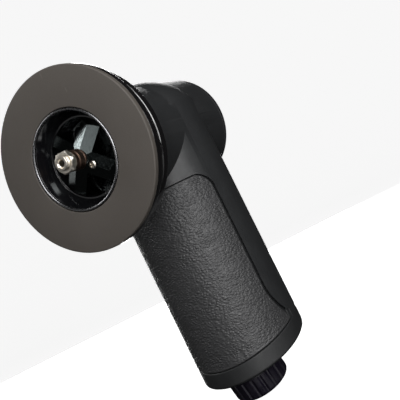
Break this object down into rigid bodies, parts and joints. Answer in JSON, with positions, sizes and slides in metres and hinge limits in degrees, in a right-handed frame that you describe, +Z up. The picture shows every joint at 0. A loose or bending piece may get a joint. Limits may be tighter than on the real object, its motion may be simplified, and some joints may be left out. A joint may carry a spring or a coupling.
{
  "type": "portable tire inflator",
  "caption": "Cordless hand-held air pump: round head with a wide rubber face, deep cup and central valve nozzle, on a leather-grained handle with a fluted control knob.",
  "frame": {"origin": "centre of the face ring's front plane, on the nozzle's axis", "axes": "-Y out of the mouth along the head and nozzle, +Z up, so the handle points down -Z and its axis is 39 mm behind the face; the part is symmetric about X = 0 but for its screws and arms"},
  "size_m": [0.052, 0.0652, 0.1104],
  "materials": {
    "charcoal_shell": "fine matte moulded plastic",
    "charcoal_base": "fine matte moulded plastic",
    "rear_plastic": "fine matte moulded plastic",
    "grip_leather": "soft rubber moulded with a pebbled leather grain",
    "face_rubber": "matte warm grey rubber with faint scratches",
    "black_gloss": "polished black plastic",
    "cup_gloss": "mirror black plastic",
    "lip_gloss": "polished black plastic",
    "spider_metal": "dark chrome",
    "nickel": "worn nickel with a brass tint",
    "nut_nickel": "bright nickel",
    "sleeve_bronze": "dark bronze",
    "knob_plastic": "near-black plastic with a purple tint",
    "knob_disc": "matte plastic",
    "button_rubber": "matte rubber",
    "screw_steel": "black oxide steel",
    "bright_steel": "ground steel",
    "spring_steel": "drawn wire",
    "alloy": "fine machined alloy",
    "cast_alloy": "die-cast alloy",
    "gear_steel": "sintered steel",
    "brass": "turned brass",
    "gasket_red": "silicone rubber",
    "seal_black": "nitrile rubber",
    "filter_foam": "open-cell foam",
    "motor_can": "zinc-plated can",
    "cell_wrap": "shrink wrap",
    "cradle_plastic": "moulded plastic",
    "contact_metal": "plated spring brass",
    "board_green": "solder mask",
    "chip_black": "moulded components",
    "port_steel": "stamped steel",
    "wire_red": "silicone wire",
    "pot_metal": "painted switch case"
  },
  "bodies": {
    "root": {"housing_left": "charcoal_shell", "housing_right": "charcoal_shell", "housing_screws": "screw_steel", "rear_cap": "rear_plastic", "intake_filter": "filter_foam", "base_cap": "charcoal_base", "base_screws": "screw_steel", "grip_panel": "grip_leather", "face_ring": "face_rubber", "front_flange": "black_gloss", "clamp_ring": "black_gloss", "cup": "cup_gloss", "cup_lip": "lip_gloss", "spider": "spider_metal", "spider_screw": "nickel", "nozzle": "nickel", "nozzle_nut": "nut_nickel", "nozzle_sleeve": "sleeve_bronze", "nozzle_seal": "seal_black", "cylinder_head": "cast_alloy", "head_gasket": "gasket_red", "head_screws": "screw_steel", "outlet_spring": "spring_steel", "pump_cylinder": "alloy", "crank_bearing": "bright_steel", "gearbox_plate": "cast_alloy", "motor_screws": "screw_steel", "motor": "motor_can", "battery_cell": "cell_wrap", "battery_cradle": "cradle_plastic", "battery_contacts": "contact_metal", "circuit_board": "board_green", "board_parts": "chip_black", "charge_port": "port_steel", "wire_leads": "wire_red", "button_spring": "spring_steel", "switch_board": "board_green", "button_switch": "pot_metal", "rotary_switch": "pot_metal", "switch_nut": "bright_steel"},
    "knob": {"control_knob": "knob_plastic", "knob_insert": "knob_disc", "knob_shaft": "bright_steel"},
    "button": {"power_button": "button_rubber"},
    "valve": {"outlet_valve": "gasket_red"},
    "crank": {"crank_gear": "gear_steel", "crank_clip": "screw_steel"},
    "rotor": {"motor_shaft": "bright_steel", "pinion": "brass"},
    "rod": {"connecting_rod": "cast_alloy", "wrist_pin": "bright_steel", "crank_bush": "brass"},
    "piston": {"piston": "alloy", "piston_ring": "seal_black", "intake_flap": "seal_black"}
  },
  "joints": [
    {"name": "knob_turn", "type": "hinge", "parent": "root", "child": "knob", "pos_m": [0, 0.03361, -0.07462], "axis": [0, 0.2723, -0.9622], "range_deg": [0, 270]},
    {"name": "button_press", "type": "slide", "parent": "root", "child": "button", "axis": [0, 0, -1], "range_m": [0, 0.001], "stiffness_N_per_m": 600, "deforming": ["button_spring"]},
    {"name": "valve_lift", "type": "slide", "parent": "root", "child": "valve", "axis": [0, -1, 0], "range_m": [0, 0.0008], "stiffness_N_per_m": 120},
    {"name": "crank_turn", "type": "hinge", "parent": "root", "child": "crank", "pos_m": [0, 0.0436, 0], "axis": [0, 0, 1], "continuous": true},
    {"name": "rod_swing", "type": "hinge", "parent": "crank", "child": "rod", "pos_m": [0, 0.04185, 0], "axis": [0, 0, 1], "continuous": true},
    {"name": "motor_spin", "type": "hinge", "parent": "root", "child": "rotor", "pos_m": [0, 0.034, 0], "axis": [0, 0, 1], "continuous": true},
    {"name": "piston_stroke", "type": "slide", "parent": "root", "child": "piston", "axis": [0, 1, 0], "range_m": [0, 0.0035]}
  ],
  "couplings": [
    {"joint": "rod_swing", "follows": "crank_turn", "ratio": -1},
    {"joint": "motor_spin", "follows": "crank_turn", "ratio": -3}
  ]
}
